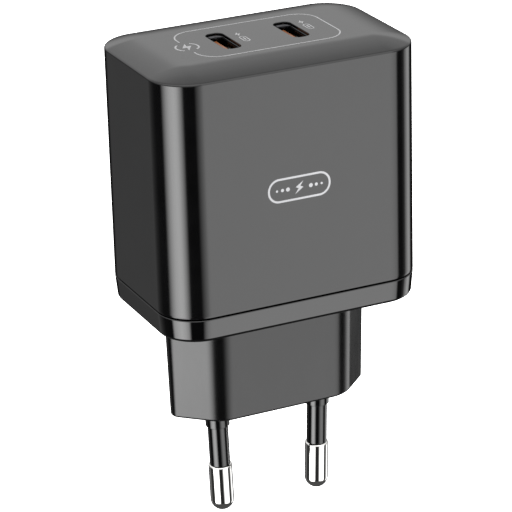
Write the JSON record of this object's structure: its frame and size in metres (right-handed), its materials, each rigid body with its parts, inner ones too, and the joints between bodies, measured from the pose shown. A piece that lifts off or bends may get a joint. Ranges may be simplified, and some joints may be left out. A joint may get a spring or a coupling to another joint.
{
  "type": "usb wall charger",
  "caption": "Compact mains charger: tall rounded housing with two USB-C ports in its crowned top, and a two-pin Europlug block with half-sleeved pins under a base ring.",
  "frame": {"origin": "centre of the plug face, midway between the two pins", "axes": "+Z out of the socket, from the plug face towards the ports; pins along -Z; X across the wide face through both pins; the marked front face looks to -Y"},
  "size_m": [0.045, 0.0294, 0.0817],
  "materials": {
    "case_black": "fine satin",
    "ring_black": "polished",
    "pin_nickel": "bright nickel plate",
    "sleeve_black": "smooth",
    "holder_white": "matte",
    "brass_strip": "rolled",
    "port_steel": "satin nickel",
    "tongue_brown": "matte",
    "contact_gold": "gold plate",
    "board_green": "solder mask",
    "ferrite": "ground",
    "bobbin_black": "matte",
    "copper_wire": "enamelled copper",
    "tape_yellow": "polyester tape",
    "can_blue": "shrink sleeve",
    "seal_rubber": "matte",
    "tinned_wire": "tinned",
    "choke_green": "powder coat",
    "box_yellow": "moulded",
    "disc_blue": "dipped",
    "fuse_brown": "moulded",
    "disc_green": "dipped",
    "chip_black": "moulding compound",
    "can_alu": "drawn",
    "inductor_grey": "pressed powder",
    "smd_tan": "sintered",
    "pad_blue": "soft silicone",
    "spreader_alu": "rolled",
    "film_cream": "polyester film"
  },
  "bodies": {
    "root": {"housing": "case_black", "base_cover": "ring_black", "pin_left": "pin_nickel", "pin_right": "pin_nickel", "pin_sleeve_left": "sleeve_black", "pin_sleeve_right": "sleeve_black", "pin_holder": "holder_white", "contact_spring_left": "brass_strip", "contact_spring_right": "brass_strip", "usb_c_shell_left": "port_steel", "usb_c_shell_right": "port_steel", "usb_c_tongue_left": "tongue_brown", "usb_c_tongue_right": "tongue_brown", "usb_c_contacts_left": "contact_gold", "usb_c_contacts_right": "contact_gold", "port_board": "board_green", "main_board": "board_green", "transformer_core": "ferrite", "transformer_bobbin": "bobbin_black", "transformer_winding": "copper_wire", "transformer_tape": "tape_yellow", "bulk_capacitor_cans": "can_blue", "bulk_capacitor_seals": "seal_rubber", "bulk_capacitor_leads": "tinned_wire", "choke_core": "choke_green", "choke_windings": "copper_wire", "x_capacitor": "box_yellow", "y_capacitor": "disc_blue", "fuse": "fuse_brown", "thermistor": "disc_green", "bridge_rectifier": "chip_black", "power_ic": "chip_black", "sync_rectifier": "chip_black", "protocol_ics": "chip_black", "output_capacitors": "can_alu", "buck_inductors": "inductor_grey", "smd_parts": "smd_tan", "thermal_pads": "pad_blue", "heat_spreader": "spreader_alu", "insulating_sheet": "film_cream"}
  },
  "joints": []
}
